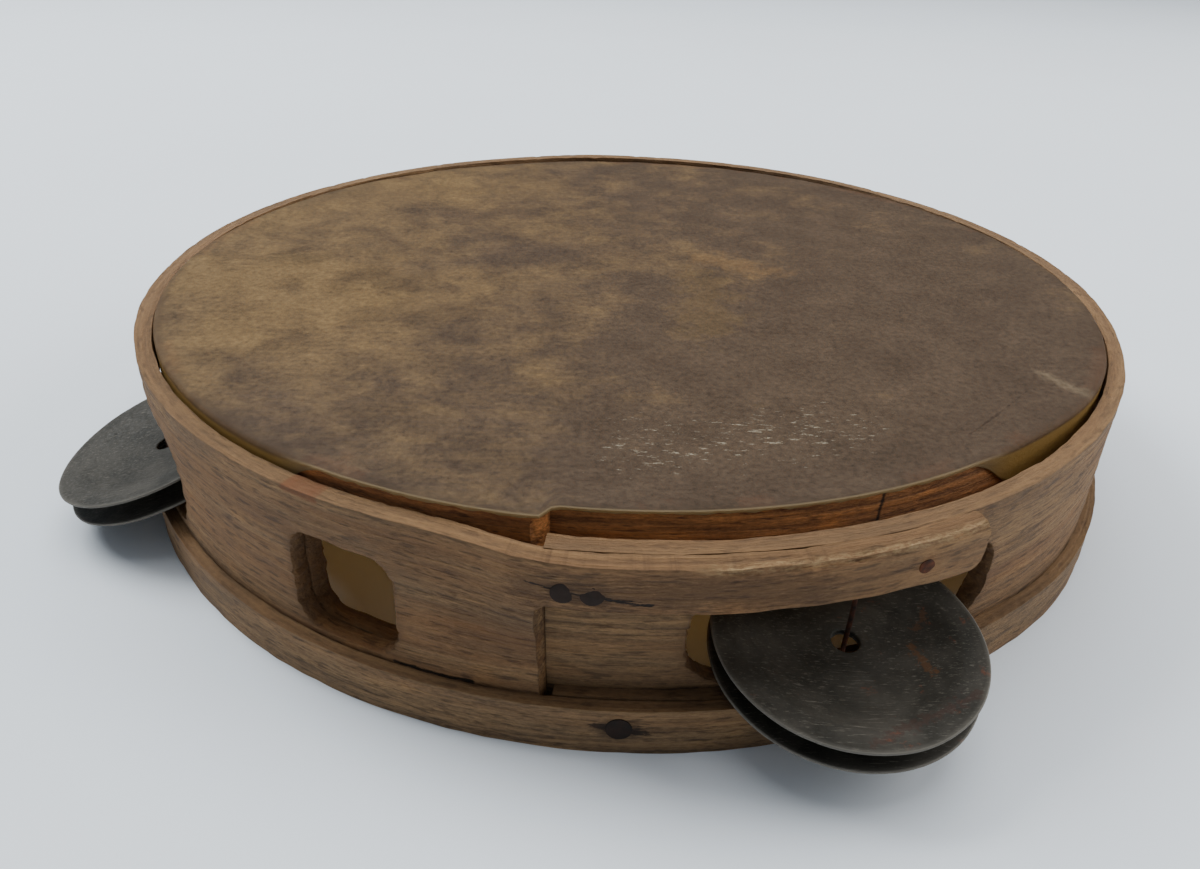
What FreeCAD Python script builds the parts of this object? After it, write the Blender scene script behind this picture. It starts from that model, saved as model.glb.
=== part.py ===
"""Old wooden tambourine: three bent strips, a hide head and four pairs of tin jingles.

Frame: +Z up, the skin on top. The origin is on the axis of the hoops, in the plane that the
rims stand on. The lap, where the shell's strip closes on itself, faces -Y. Angles are measured
counterclockwise from +X, in degrees, and lengths are millimetres.
"""
import FreeCAD, Part
import math
import os

import Sketcher

from FreeCAD import Placement, Rotation, Vector

DIMENSIONS = [
    # shell, the tall strip that holds the jingles
    ("shell_radius", 109.6, "outer radius of the shell"),
    ("shell_wall", 3.3, "thickness of the shell's strip"),
    ("shell_height", 38.6, "height of the shell"),
    ("shell_tuck", 3.4, "how far the start of the strip leans in at its foot"),
    ("shell_joint_angle", 263.2, "where the full height of the strip ends"),
    ("joint_gap_angle", 0.15, "gap between the two ends of the strip"),
    ("tuck_hold_angle", 294.0, "how far round the start of the strip keeps its lean"),
    ("tuck_end_angle", 330.0, "where the strip stands upright again"),
    # inner tail of the shell's strip, hidden behind the joint
    ("tail_start_angle", 235.0, "where the tail begins"),
    ("tail_height", 28.0, "height of the tail"),
    ("lap_gap", 0.15, "gap between two layers of one strip"),
    # tongue of the shell's strip, lapped over the outside of the joint
    ("tongue_root_angle", 252.0, "where the tongue leaves the circle of the shell"),
    ("tongue_out_angle", 267.0, "where the tongue is fully outside the shell"),
    ("tongue_end_angle", 299.0, "where the tongue ends"),
    ("tongue_height", 8.6, "height of the tongue"),
    ("tongue_corner", 3.0, "radius of the tongue's lower corner"),
    # jingle slots and the thumb hole
    ("slot_length", 56.0, "length of a jingle slot"),
    ("slot_bottom", 10.4, "height of the slots' lower edge"),
    ("slot_height", 19.8, "height of the slots and of the thumb hole"),
    ("slot_corner", 7.5, "corner radius of a jingle slot"),
    ("thumb_width", 20.0, "width of the thumb hole"),
    ("thumb_corner", 4.5, "corner radius of the thumb hole"),
    ("thumb_angle", 244.9, "place of the thumb hole"),
    ("front_slot_angle", 289.5, "place of the front jingle slot"),
    ("left_slot_angle", 205.5, "place of the left jingle slot"),
    ("back_slot_angle", 115.6, "place of the back jingle slot"),
    ("right_slot_angle", 22.6, "place of the right jingle slot"),
    # base hoop, the narrow strip round the foot of the shell
    ("base_height", 9.3, "height of the base hoop"),
    ("base_wall", 2.2, "thickness of the base hoop's strip"),
    ("base_start_angle", -96.3, "where the base hoop's strip starts"),
    ("base_end_angle", 290.0, "where the base hoop's strip ends"),
    ("base_fit", 0.15, "gap between the base hoop and the shell"),
    # head hoop, the narrow strip inside the rim that carries the skin
    ("head_height", 8.0, "height of the head hoop"),
    ("head_wall", 2.9, "thickness of the head hoop's strip"),
    ("head_fit", 0.25, "gap between the skin's side and the shell"),
    ("head_rise", 0.3, "height of the head hoop's top above the rim, on the axis"),
    ("head_cant", 1.0, "tilt of the head hoop, up at the front"),
    ("head_start_angle", -125.0, "where the head hoop's strip starts"),
    ("head_hold_angle", -57.0, "how far round the start stays one layer in"),
    ("head_out_angle", -25.0, "where the strip has come out to the full circle"),
    ("head_end_angle", 263.0, "where the head hoop's strip ends"),
    # skin
    ("skin_thickness", 0.5, "thickness of the skin"),
    ("skin_side", 7.0, "how far the skin comes down the side of the head hoop"),
    ("skin_fit", 0.05, "gap between the skin's side and the head hoop"),
    ("skin_side_end", 240.0, "where the skin's side ends"),
    # jingles and their wires
    ("jingle_radius", 22.5, "outer radius of a jingle"),
    ("jingle_hole", 2.3, "radius of a jingle's hole"),
    ("jingle_sheet", 0.7, "thickness of a jingle's sheet"),
    ("jingle_depth", 2.0, "depth of a jingle's dish"),
    ("jingle_floor", 7.5, "radius of the dish's flat floor"),
    ("jingle_band", 4.2, "width of the band round a jingle's edge"),
    ("jingle_band_rise", 0.3, "how far the band still rises"),
    ("jingle_rest_gap", 0.15, "gap between the lowest jingle and the slot's edge at rest"),
    ("jingle_stack_gap", 0.08, "gap between the two jingles of a pair at rest"),
    ("front_droop", 6.5, "how far the front pair hangs down on its outer side"),
    ("front_roll", 1.0, "how far the front pair lies higher on its counterclockwise side"),
    ("left_droop", 18.0, "how far the left pair hangs down on its outer side"),
    ("left_roll", 3.0, "how far the left pair lies higher on its counterclockwise side"),
    ("back_droop", 3.0, "how far the back pair hangs down on its outer side"),
    ("back_roll", 0.0, "how far the back pair lies higher on its counterclockwise side"),
    ("right_droop", 4.0, "how far the right pair hangs down on its outer side"),
    ("right_roll", 0.0, "how far the right pair lies higher on its counterclockwise side"),
    ("wire_diameter", 0.9, "diameter of a jingle's wire"),
    ("wire_fit", 0.05, "gap round a wire in the wood"),
    ("wire_foot", 2.3, "how far a wire goes into the wood under its slot"),
    ("wire_top", 6.2, "how far a wire goes into the wood above its slot"),
    # nails
    ("nail_height", 33.45, "height of the nails in the tongue"),
    ("lap_nail_angle", 265.9, "place of the pair of nails at the joint"),
    ("lap_nail_pitch", 2.2, "angle between the two nails of the pair"),
    ("lap_nail_head", 3.7, "head diameter of the pair of nails"),
    ("end_nail_angle", 292.9, "place of the nail at the tongue's end"),
    ("end_nail_head", 3.0, "head diameter of the nail at the tongue's end"),
    ("tongue_nail_length", 5.9, "length of the nails in the tongue"),
    ("base_nail_height", 5.4, "height of the nails in the base hoop"),
    ("base_nail_front", 269.4, "place of the base hoop's front nail"),
    ("base_nail_end", 284.5, "place of the nail at the base hoop's end"),
    ("base_nail_head", 4.5, "head diameter of the base hoop's nails"),
    ("base_nail_length", 7.6, "length of the base hoop's nails"),
    ("nail_shank", 1.6, "diameter of a nail's shank"),
    ("nail_head_thickness", 0.6, "thickness of a nail's head"),
    ("nail_proud", 0.3, "how far a nail's head stands out of the wood"),
    ("nail_fit", 0.05, "gap round a nail in the wood"),
]

SHEET = "Dimensions"
REACH = 12.0  # how far a cutter reaches past the faces it cuts
LARGEST_CORNER = 0.49  # largest corner radius of a slot, as a share of its height

doc = FreeCAD.newDocument("tambourine")
sheet = doc.addObject("Spreadsheet::Sheet", SHEET)
for row, (alias, size, meaning) in enumerate(DIMENSIONS, start=1):
    sheet.set(f"A{row}", meaning)
    sheet.set(f"B{row}", str(size))
    sheet.setAlias(f"B{row}", alias)
doc.recompute()


def size_of(alias):
    """The number in the sheet's cell of that name."""
    return float(sheet.get(alias))


def formula(text):
    """An expression written with bare cell names, as FreeCAD reads it."""
    words = text.replace("(", " ( ").replace(")", " ) ").split()
    aliases = {alias for alias, _, _ in DIMENSIONS}
    return " ".join(f"{SHEET}.{word}" if word in aliases else word for word in words)


def polar(radius, angle, height=0.0):
    """The point at that radius, angle and height."""
    turn = math.radians(angle)
    return Vector(radius * math.cos(turn), radius * math.sin(turn), height)


def radial_placement(radius, angle, height):
    """A placement whose local +X points outward at that angle."""
    return Placement(polar(radius, angle, height), Rotation(Vector(0, 0, 1), angle))


# ---------------------------------------------------------------- bent strips

def face_arcs(stops, offset, height):
    """Arcs through (angle, radius) stops: round where the radius holds, else a smooth S."""
    arcs = []
    for (angle_a, radius_a), (angle_b, radius_b) in zip(stops, stops[1:]):
        span = angle_b - angle_a
        change = radius_b - radius_a
        marks = [(0.0, 0.0), (0.25, 0.125), (0.5, 0.5), (0.75, 0.875), (1.0, 1.0)]
        points = [polar(radius_a + offset + change * rise, angle_a + span * part, height)
                  for part, rise in marks]
        arcs.append(Part.Arc(points[0], points[1], points[2]).toShape())
        arcs.append(Part.Arc(points[2], points[3], points[4]).toShape())
    return arcs


def strip_wire(stops, wall, height=0.0):
    """The closed outline of a bent strip whose inner face runs through the stops."""
    inner = face_arcs(stops, 0.0, height)
    outer = face_arcs(stops, wall, height)
    start = Part.makeLine(polar(stops[0][1], stops[0][0], height),
                          polar(stops[0][1] + wall, stops[0][0], height))
    end = Part.makeLine(polar(stops[-1][1], stops[-1][0], height),
                        polar(stops[-1][1] + wall, stops[-1][0], height))
    return Part.Wire(Part.__sortEdges__(inner + [end] + outer + [start]))


def upright_strip(stops, wall, bottom, top):
    """A bent strip with upright faces."""
    return Part.Face(strip_wire(stops, wall, bottom)).extrude(Vector(0, 0, top - bottom))


def leaning_strip(foot_stops, top_stops, wall, height):
    """A bent strip whose faces run straight from one outline at the foot to one at the top."""
    foot = strip_wire(foot_stops, wall, 0.0)
    top = strip_wire(top_stops, wall, height)
    return Part.makeLoft([foot, top], True, True)


def add_shape(name, shape):
    """A document object that carries a shape made here."""
    holder = doc.addObject("Part::Feature", name)
    holder.Shape = shape
    return holder


def add_cut(label, base, tools):
    """The base less all the tools, as a document object of that label."""
    bundle = doc.addObject("Part::Compound", f"{label}_tools")
    bundle.Links = tools
    cut = doc.addObject("Part::Cut", label)
    cut.Base = base
    cut.Tool = bundle
    cut.Label = label
    return cut


def lean_at(height):
    """How far the start of the shell's strip stands in from the circle at that height."""
    return size_of("shell_tuck") * (1.0 - height / size_of("shell_height"))


def shell_blank():
    """The shell's strip without its tongue: the circle, the leaning start and the tail."""
    wall = size_of("shell_wall")
    height = size_of("shell_height")
    inner = size_of("shell_radius") - wall
    joint = size_of("shell_joint_angle")
    hold = size_of("tuck_hold_angle")
    upright = size_of("tuck_end_angle")
    start = joint + size_of("joint_gap_angle")
    tongue_bottom = height - size_of("tongue_height")
    lower = upright_strip([(upright - 360, inner), (joint, inner)], wall, 0.0, tongue_bottom)
    upper = upright_strip([(upright - 360, inner), (size_of("tongue_root_angle"), inner)],
                          wall, tongue_bottom, height)
    foot_inner = inner - size_of("shell_tuck")
    leaning = leaning_strip([(start, foot_inner), (hold, foot_inner), (upright, inner)],
                            [(start, inner), (hold, inner), (upright, inner)], wall, height)
    tail_inner = inner - wall - size_of("lap_gap")
    tail = upright_strip([(size_of("tail_start_angle"), tail_inner), (start + 2.0, tail_inner)],
                         wall, 0.0, size_of("tail_height"))
    return lower.fuse([upper, leaning, tail]).removeSplitter()


def shell_tongue():
    """The top part of the strip's end, carried over the outside of the joint."""
    wall = size_of("shell_wall")
    height = size_of("shell_height")
    inner = size_of("shell_radius") - wall
    lapped = size_of("shell_radius") + size_of("lap_gap")
    end = size_of("tongue_end_angle")
    bottom = height - size_of("tongue_height")
    stops = [(size_of("tongue_root_angle"), inner), (size_of("tongue_out_angle"), lapped),
             (end, lapped)]
    tongue = upright_strip(stops, wall, bottom, height)
    corner = polar(lapped + wall / 2, end, bottom)
    edge = min(tongue.Edges, key=lambda item: item.CenterOfMass.distanceToPoint(corner))
    return tongue.makeFillet(size_of("tongue_corner"), [edge])


def add_window(name, length, corner, angle):
    """A cutter for a slot or hole through the wall, with rounded corners."""
    box = doc.addObject("Part::Box", f"{name}_box")
    box.setExpression("Length", formula(f"2 * shell_wall + {2 * REACH}"))
    box.setExpression("Width", formula(length))
    box.setExpression("Height", formula("slot_height"))
    middle = size_of("shell_radius") - size_of("shell_wall") - REACH
    across = Vector(0, -size_of(length) / 2, 0)
    place = radial_placement(middle, size_of(angle), size_of("slot_bottom"))
    box.Placement = place * Placement(across, Rotation())
    doc.recompute()
    radius = min(size_of(corner), LARGEST_CORNER * size_of("slot_height"))
    outward = polar(1.0, size_of(angle))
    edges = [(number, radius, radius) for number, edge in enumerate(box.Shape.Edges, start=1)
             if abs(edge.tangentAt(0).dot(outward)) > 0.9]
    window = doc.addObject("Part::Fillet", name)
    window.Base = box
    window.Edges = edges
    return window


# ---------------------------------------------------------------- round pieces

def add_cylinder(name, radius, length, placement):
    """A cylinder whose radius and length are formulas."""
    cylinder = doc.addObject("Part::Cylinder", name)
    cylinder.setExpression("Radius", formula(radius))
    cylinder.setExpression("Height", formula(length))
    cylinder.Placement = placement
    return cylinder


def add_nail(name, face_radius, angle, height, head, length, slack):
    """A nail driven straight in, its head just proud of a wooden face at that radius."""
    inward = Rotation(Vector(0, 1, 0), -90)
    face = radial_placement(face_radius + size_of("nail_proud"), angle, height)
    place = face * Placement(Vector(), inward)
    top = add_cylinder(f"{name}_head", f"{head} / 2 + {slack}", f"nail_head_thickness + {slack}", place)
    shank = add_cylinder(f"{name}_shank", f"nail_shank / 2 + {slack}", f"{length} + {slack}", place)
    nail = doc.addObject("Part::Fuse", name)
    nail.Base = top
    nail.Tool = shank
    return nail


def nail_places():
    """Label, radius of the wooden face, angle, height, head and length of every nail."""
    lapped = size_of("shell_radius") + size_of("lap_gap") + size_of("shell_wall")
    half_pitch = size_of("lap_nail_pitch") / 2
    root = size_of("tongue_root_angle")
    out = size_of("tongue_out_angle")
    places = []
    for angle in (size_of("lap_nail_angle") - half_pitch, size_of("lap_nail_angle") + half_pitch):
        left = max(0.0, (out - angle) / (out - root))
        step = (size_of("shell_wall") + size_of("lap_gap")) * 2 * left ** 2
        places.append(("lap_nails", lapped - step, angle, "nail_height",
                       "lap_nail_head", "tongue_nail_length"))
    places.append(("tongue_end_nail", lapped, size_of("end_nail_angle"), "nail_height",
                   "end_nail_head", "tongue_nail_length"))
    rim = size_of("shell_radius") + size_of("base_fit") + size_of("base_wall")
    for label, alias in (("base_hoop_front_nail", "base_nail_front"),
                         ("base_hoop_end_nail", "base_nail_end")):
        places.append((label, rim, size_of(alias), "base_nail_height",
                       "base_nail_head", "base_nail_length"))
    return places


def add_nails():
    """Every nail, as one node per label, and the holes that the nails fill."""
    nails = {}
    holes = []
    for number, (label, radius, angle, height, head, length) in enumerate(nail_places()):
        where = (radius, angle, size_of(height), head, length)
        nails.setdefault(label, []).append(add_nail(f"nail_{number}", *where, "0"))
        holes.append(add_nail(f"nail_hole_{number}", *where, "nail_fit"))
    nodes = []
    for label, members in nails.items():
        node = doc.addObject("Part::Compound", label)
        node.Links = members
        node.Label = label
        nodes.append(node)
    return nodes, holes


SLOTS = {"front": "front_slot_angle", "left": "left_slot_angle",
         "back": "back_slot_angle", "right": "right_slot_angle"}


def wire_radius(side):
    """How far a wire stands from the axis: in the middle of the wall at its slot."""
    middle = size_of("shell_radius") - size_of("shell_wall") / 2
    if side != "front":
        return middle
    return middle - lean_at(size_of("slot_bottom") + size_of("slot_height") / 2)


def add_wires():
    """The four upright wires and the holes that they sit in."""
    bottom = size_of("slot_bottom") - size_of("wire_foot")
    length = "slot_height + wire_foot + wire_top"
    wires = []
    holes = []
    for side, alias in SLOTS.items():
        place = Placement(polar(wire_radius(side), size_of(alias), bottom), Rotation())
        wire = add_cylinder(f"{side}_jingle_wire", "wire_diameter / 2", length, place)
        wire.Label = f"{side}_jingle_wire"
        wires.append(wire)
        holes.append(add_cylinder(f"{side}_wire_hole", "wire_diameter / 2 + wire_fit", length, place))
    return wires, holes


def add_profile(body, name, corners):
    """A closed sketch on the XZ plane whose corners are pairs of formulas, none negative."""
    plane = next(item for item in body.Origin.OriginFeatures if item.Role == "XZ_Plane")
    sketch = body.newObject("Sketcher::SketchObject", name)
    sketch.AttachmentSupport = [(plane, "")]
    sketch.MapMode = "FlatFace"
    points = [Vector(float(sheet.evalExpression(formula(across))),
                     float(sheet.evalExpression(formula(up))), 0) for across, up in corners]
    count = len(points)
    for index in range(count):
        sketch.addGeometry(Part.LineSegment(points[index], points[(index + 1) % count]), False)
    for index in range(count):
        following = (index + 1) % count
        sketch.addConstraint(Sketcher.Constraint("Coincident", index, 2, following, 1))
    for index, (across, up) in enumerate(corners):
        for kind, text, distance in (("DistanceX", across, points[index].x),
                                     ("DistanceY", up, points[index].y)):
            if distance == 0:
                axis = -2 if kind == "DistanceX" else -1
                sketch.addConstraint(Sketcher.Constraint("PointOnObject", index, 1, axis))
                continue
            made = sketch.addConstraint(Sketcher.Constraint(kind, -1, 1, index, 1, distance))
            sketch.setExpression(f"Constraints[{made}]", formula(text))
    return sketch


def add_jingle(label, placement):
    """One jingle: a tin disc with a flat floor, a dished side and a band round its edge."""
    body = doc.addObject("PartDesign::Body", label)
    body.Label = label
    ridge = "jingle_radius - jingle_band"
    ridge_rise = "jingle_depth - jingle_band_rise"
    under = [("jingle_hole", "0"), ("jingle_floor", "0"), (ridge, ridge_rise),
             ("jingle_radius", "jingle_depth")]
    over = [(across, f"{up} + jingle_sheet") for across, up in reversed(under)]
    sketch = add_profile(body, f"{label}_profile", under + over)
    turned = body.newObject("PartDesign::Revolution", f"{label}_turned")
    turned.Profile = sketch
    turned.ReferenceAxis = (sketch, ["V_Axis"])
    turned.Angle = 360.0
    sketch.Visibility = False
    body.Placement = placement
    return body


def slot_edge(across):
    """Height of a slot's lower edge at that distance along the wall from its middle."""
    corner = min(size_of("slot_corner"), LARGEST_CORNER * size_of("slot_height"))
    past_straight = max(0.0, abs(across) - (size_of("slot_length") / 2 - corner))
    return size_of("slot_bottom") + corner - math.sqrt(corner ** 2 - min(past_straight, corner) ** 2)


def pair_lean(side):
    """How a resting pair leans: down on its outer side, then up on its counterclockwise side."""
    outward = polar(1.0, size_of(SLOTS[side]))
    along = polar(1.0, size_of(SLOTS[side]) + 90)
    return Rotation(along, size_of(f"{side}_droop")) * Rotation(outward, size_of(f"{side}_roll"))


def pair_height(side, lean):
    """Height of a resting pair's middle, with its lower edge clear of the slot and the base hoop."""
    angle = size_of(SLOTS[side])
    along = polar(1.0, angle + 90)
    half_stack = size_of("jingle_depth") + size_of("jingle_sheet") + size_of("jingle_stack_gap") / 2
    inside = size_of("shell_radius") - size_of("shell_wall") - size_of("shell_tuck")
    outside = size_of("shell_radius") + size_of("base_fit") + size_of("base_wall")
    needed = 0.0
    for step in range(0, 360, 2):
        edge = polar(wire_radius(side), angle) + lean * polar(size_of("jingle_radius"), step, -half_stack)
        away = math.hypot(edge.x, edge.y)
        if inside <= away <= size_of("shell_radius"):
            needed = max(needed, slot_edge(edge * along) - edge.z)
        elif inside <= away <= outside:
            needed = max(needed, size_of("base_height") - edge.z)
    return needed + size_of("jingle_rest_gap")


def add_jingles():
    """A pair of jingles on each wire, back to back: the lower one is dished downward."""
    jingles = []
    for side, alias in SLOTS.items():
        lean = pair_lean(side)
        middle = polar(wire_radius(side), size_of(alias), pair_height(side, lean))
        apart = lean * Vector(0, 0, size_of("jingle_stack_gap") / 2)
        lower = Placement(middle - apart, lean * Rotation(Vector(1, 0, 0), 180))
        jingles.append(add_jingle(f"{side}_lower_jingle", lower))
        jingles.append(add_jingle(f"{side}_upper_jingle", Placement(middle + apart, lean)))
    return jingles


# ---------------------------------------------------------------- hoops and skin

def add_shell(holes):
    """The shell: its strip, less the slots and thumb hole, with the tongue laid over it."""
    windows = [add_window(f"{side}_slot", "slot_length", "slot_corner", alias)
               for side, alias in SLOTS.items()]
    windows.append(add_window("thumb_hole", "thumb_width", "thumb_corner", "thumb_angle"))
    pierced = add_cut("pierced_strip", add_shape("shell_strip", shell_blank()), windows)
    whole = doc.addObject("Part::Fuse", "shell_with_tongue")
    whole.Base = pierced
    whole.Tool = add_shape("shell_tongue", shell_tongue())
    whole.Refine = True
    return add_cut("shell_hoop", whole, holes)


def add_base_hoop(holes):
    """The base hoop: it starts one layer in, against the leaning start of the shell."""
    inner = size_of("shell_radius") + size_of("base_fit")
    tucked = inner - lean_at(size_of("base_height"))
    stops = [(size_of("base_start_angle"), tucked),
             (size_of("tuck_hold_angle") - 360, tucked),
             (size_of("tuck_end_angle") - 360, inner),
             (size_of("base_end_angle"), inner)]
    strip = upright_strip(stops, size_of("base_wall"), 0.0, size_of("base_height"))
    return add_cut("base_hoop", add_shape("base_strip", strip), holes)


def head_outer():
    """The outer radius of the head hoop on its full circle."""
    inside = size_of("shell_radius") - size_of("shell_wall")
    return inside - size_of("head_fit") - size_of("skin_thickness") - size_of("skin_fit")


def head_stops(radius):
    """Stops of the head hoop's face that has that radius on the full circle."""
    one_layer = size_of("head_wall") + size_of("lap_gap")
    return [(size_of("head_start_angle"), radius - one_layer),
            (size_of("head_hold_angle"), radius - one_layer),
            (size_of("head_out_angle"), radius),
            (size_of("head_end_angle"), radius)]


def head_placement():
    """The head hoop's top plane, tilted up at the front."""
    lift = Vector(0, 0, size_of("shell_height") + size_of("head_rise"))
    return Placement(lift, Rotation(Vector(1, 0, 0), -size_of("head_cant")))


def add_head_hoop():
    """The head hoop: it starts one layer in and ends over its own start."""
    wall = size_of("head_wall")
    strip = upright_strip(head_stops(head_outer() - wall), wall, -size_of("head_height"), 0.0)
    hoop = add_shape("head_hoop", strip)
    hoop.Label = "head_hoop"
    hoop.Placement = head_placement()
    return hoop


def add_skin():
    """The skin: flat over the head hoop, and turned down its side except at the front."""
    thickness = size_of("skin_thickness")
    radius = head_outer()
    stops = head_stops(radius)
    lap = size_of("head_end_angle") - 360
    edge_stops = [(lap, stops[0][1])] + stops[1:]
    edges = face_arcs(edge_stops, 0.0, 0.0)
    edges.append(Part.makeLine(polar(stops[0][1], lap), polar(radius, lap)))
    top = Part.Face(Part.Wire(Part.__sortEdges__(edges))).extrude(Vector(0, 0, thickness))
    inner = radius + size_of("skin_fit")
    start = size_of("head_out_angle")
    side_stops = [(start, inner), (size_of("skin_side_end"), inner)]
    side = upright_strip(side_stops, thickness, -size_of("skin_side"), thickness)
    collar = upright_strip([(start, radius - thickness), (size_of("skin_side_end"), radius - thickness)],
                           thickness * 2 + size_of("skin_fit"), 0.0, thickness)
    skin = add_shape("drum_skin", top.fuse([side, collar]).removeSplitter())
    skin.Label = "drum_skin"
    skin.Placement = head_placement()
    return skin


def check(nodes):
    """Stop if any object failed or any sub-part isn't a sound solid."""
    for item in doc.Objects:
        if "Invalid" in item.State or "Error" in item.State:
            raise RuntimeError(f"{item.Label} failed: {item.State}")
    for node in nodes:
        if node.Shape.isNull() or not node.Shape.isValid() or not node.Shape.Solids:
            raise RuntimeError(f"{node.Label} is not a sound solid")


def main():
    """Build every sub-part, check them all and write one STEP file each."""
    nails, nail_holes = add_nails()
    wires, wire_holes = add_wires()
    nodes = [add_shell(nail_holes + wire_holes), add_base_hoop(nail_holes), add_head_hoop(), add_skin()]
    nodes += nails + wires + add_jingles()
    doc.recompute()
    check(nodes)
    os.makedirs("parts", exist_ok=True)
    for node in nodes:
        node.Shape.exportStep(f"parts/{node.Label}.step")
        box = node.Shape.BoundBox
        print(f"{node.Label}: {len(node.Shape.Solids)} solid, {node.Shape.Volume:.0f} mm3, "
              f"z {box.ZMin:.2f} to {box.ZMax:.2f}")


main()
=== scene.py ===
"""Looks of an old wooden tambourine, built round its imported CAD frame. Lengths are in metres."""

import math

import bmesh
import bpy
import numpy as np
from bpy.props import FloatProperty, FloatVectorProperty, IntProperty, PointerProperty
from mathutils import Matrix, Vector


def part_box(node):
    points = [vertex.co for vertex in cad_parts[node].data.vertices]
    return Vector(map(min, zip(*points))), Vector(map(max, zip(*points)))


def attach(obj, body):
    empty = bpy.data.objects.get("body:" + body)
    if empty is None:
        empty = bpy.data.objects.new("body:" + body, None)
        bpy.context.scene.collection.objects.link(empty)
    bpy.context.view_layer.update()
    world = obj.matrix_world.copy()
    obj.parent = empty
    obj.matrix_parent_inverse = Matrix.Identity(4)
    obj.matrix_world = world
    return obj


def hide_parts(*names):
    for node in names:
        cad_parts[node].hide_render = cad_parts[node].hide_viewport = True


bl_info = {
    "name": "Old wooden tambourine",
    "version": (1, 0, 0),
    "blender": (4, 5, 0),
    "location": "View3D > Sidebar > Tambourine",
    "description": "Builds the hoops, skin, jingles, wires and nails of an old tambourine",
    "category": "Object",
}

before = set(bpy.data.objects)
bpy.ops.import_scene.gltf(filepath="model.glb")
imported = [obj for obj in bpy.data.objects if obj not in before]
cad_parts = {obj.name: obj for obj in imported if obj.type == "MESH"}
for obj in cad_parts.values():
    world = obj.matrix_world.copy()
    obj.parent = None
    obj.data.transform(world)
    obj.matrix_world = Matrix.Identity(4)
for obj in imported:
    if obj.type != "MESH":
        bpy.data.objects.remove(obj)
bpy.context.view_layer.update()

MM = 0.001
SIDES = ("front", "left", "back", "right")
SHELL_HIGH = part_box("shell_hoop")[1]
BASE_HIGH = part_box("base_hoop")[1]
CUT_PAST = 5 * MM  # how far a cutter stands out past what it cuts
SHARP = math.radians(48)  # edges sharper than this are shaded as edges


def linear(code):
    """The linear colour of an sRGB hex code."""
    parts = [int(code[place:place + 2], 16) / 255 for place in (1, 3, 5)]
    return tuple(part / 12.92 if part <= 0.04045 else ((part + 0.055) / 1.055) ** 2.4
                 for part in parts)


def length(name, description, default):
    """A length property, in metres."""
    return FloatProperty(name=name, description=description, default=default,
                         subtype="DISTANCE", unit="LENGTH", precision=5)


def turn(name, description, degrees):
    """An angle property, counterclockwise from +X."""
    return FloatProperty(name=name, description=description, default=math.radians(degrees),
                         subtype="ANGLE", unit="ROTATION")


def colour(name, description, code):
    """A colour property whose default is an sRGB hex code."""
    return FloatVectorProperty(name=name, description=description, default=linear(code),
                               subtype="COLOR", size=3, min=0.0, max=1.0)


class TambourineShell(bpy.types.PropertyGroup):
    """Sizes of the shell's strip, which closes in a lap with a tongue."""

    radius: length("Radius", "Outer radius of the shell", SHELL_HIGH.y)
    wall: length("Wall", "Thickness of the strip", 3.3 * MM)
    height: length("Height", "Height of the shell", SHELL_HIGH.z)
    tuck: length("Tuck", "How far the strip's start leans in at its foot", 3.4 * MM)
    start: turn("Start", "Where the strip starts", -96.9)
    tuck_hold: turn("Tuck hold", "How far round the start keeps its lean", -66)
    tuck_end: turn("Tuck end", "Where the strip stands upright", -30)
    joint: turn("Joint", "Where the strip's full height ends", 263.2)
    tongue_root: turn("Tongue root", "Where the tongue leaves the circle", 252)
    tongue_out: turn("Tongue out", "Where the tongue is fully outside", 267)
    tongue_end: turn("Tongue end", "Where the tongue ends", 299)
    tongue_height: length("Tongue height", "Height of the tongue", 8.4 * MM)
    tongue_corner: length("Tongue corner", "Radius of the tongue's lower corner", 3.0 * MM)
    lap_gap: length("Lap gap", "Gap between two layers of one strip", 0.15 * MM)
    tail_start: turn("Tail start", "Where the hidden tail begins", 235)
    tail_height: length("Tail height", "Height of the hidden tail", 28 * MM)
    slot_length: length("Slot length", "Length of a jingle slot", 56 * MM)
    slot_bottom: length("Slot bottom", "Height of the slots' lower edge", 10.4 * MM)
    slot_height: length("Slot height", "Height of the slots", 19.8 * MM)
    slot_corner: length("Slot corner", "Corner radius of a jingle slot", 7.5 * MM)
    thumb_width: length("Thumb hole width", "Width of the thumb hole", 20 * MM)
    thumb_corner: length("Thumb hole corner", "Corner radius of the thumb hole", 4.5 * MM)
    thumb_place: turn("Thumb hole place", "Where the thumb hole is", 244.9)
    cell: length("Cell", "Size of the mesh's cells", 0.78 * MM)


class TambourineHoops(bpy.types.PropertyGroup):
    """Sizes of the base hoop and of the head hoop."""

    base_radius: length("Base radius", "Outer radius of the base hoop", BASE_HIGH.y)
    base_height: length("Base height", "Height of the base hoop", BASE_HIGH.z)
    base_wall: length("Base wall", "Thickness of the base hoop", 2.2 * MM)
    base_start: turn("Base start", "Where the base hoop starts", -96.3)
    base_end: turn("Base end", "Where the base hoop ends", 290)
    base_tuck: length("Base tuck", "How far in the base hoop starts", 2.58 * MM)
    head_radius: length("Head radius", "Outer radius of the head hoop", 105.5 * MM)
    head_height: length("Head height", "Height of the head hoop", 8 * MM)
    head_wall: length("Head wall", "Thickness of the head hoop", 2.9 * MM)
    head_layer: length("Head layer", "How far in the head hoop starts", 3.05 * MM)
    head_start: turn("Head start", "Where the head hoop starts", -125)
    head_hold: turn("Head hold", "How far round the start stays in", -57)
    head_out: turn("Head out", "Where the head hoop is on its circle", -25)
    head_end: turn("Head end", "Where the head hoop ends", 263)
    head_top: length("Head top", "Height of the head hoop's top on the axis", 38.9 * MM)
    head_cant: turn("Head cant", "Tilt of the head hoop, up at the front", 1.0)
    cell: length("Cell", "Size of the mesh's cells", 0.6 * MM)


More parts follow.
